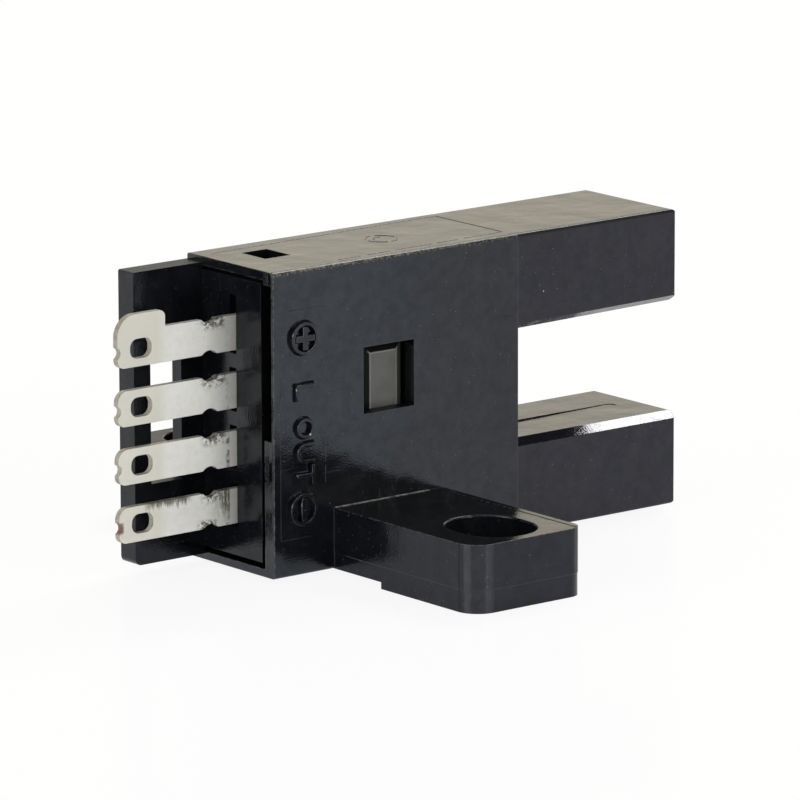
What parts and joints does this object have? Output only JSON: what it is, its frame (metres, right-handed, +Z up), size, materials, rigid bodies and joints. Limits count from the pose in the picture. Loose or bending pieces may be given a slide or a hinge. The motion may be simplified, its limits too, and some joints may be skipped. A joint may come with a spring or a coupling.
{
  "type": "slotted optical switch",
  "caption": "Fork-shaped slotted optical switch in a black housing with side mounting tabs, an indicator window and a row of flat blade terminals.",
  "frame": {"origin": "midway between the two mounting holes, on the mounting face of the tab pads", "axes": "+X out of the fork and away from the terminals, +Z up from the mounting face, -Y the face with the indicator window"},
  "size_m": [0.029, 0.025, 0.0137],
  "materials": {
    "black_housing": "semi-gloss moulded black, infrared-passing polycarbonate",
    "black_holder": "semi-gloss moulded black",
    "tinned_metal": "satin tin plate with small stains",
    "frosted_guide": "frosted translucent plastic",
    "led_body": "matt white",
    "board": "solder mask",
    "clear_package": "clear moulded resin",
    "dark_package": "dark infrared-passing resin",
    "lead_frame": "tin plate",
    "moulded_component": "matt moulded black",
    "chip_resistor": "ceramic chip",
    "chip_capacitor": "ceramic chip"
  },
  "bodies": {
    "root": {"housing": "black_housing", "terminal_holder": "black_holder", "positive_terminal": "tinned_metal", "light_terminal": "tinned_metal", "output_terminal": "tinned_metal", "negative_terminal": "tinned_metal", "light_guide": "frosted_guide", "indicator_led": "led_body", "circuit_board": "board", "infrared_emitter": "clear_package", "emitter_anode_lead": "lead_frame", "emitter_cathode_lead": "lead_frame", "photo_receiver": "dark_package", "receiver_supply_lead": "lead_frame", "receiver_output_lead": "lead_frame", "receiver_ground_lead": "lead_frame", "driver_ic": "moulded_component", "output_transistor": "moulded_component", "surge_diode": "moulded_component", "emitter_resistor": "chip_resistor", "indicator_resistor": "chip_resistor", "pull_up_resistor": "chip_resistor", "bypass_capacitor": "chip_capacitor"}
  },
  "joints": []
}
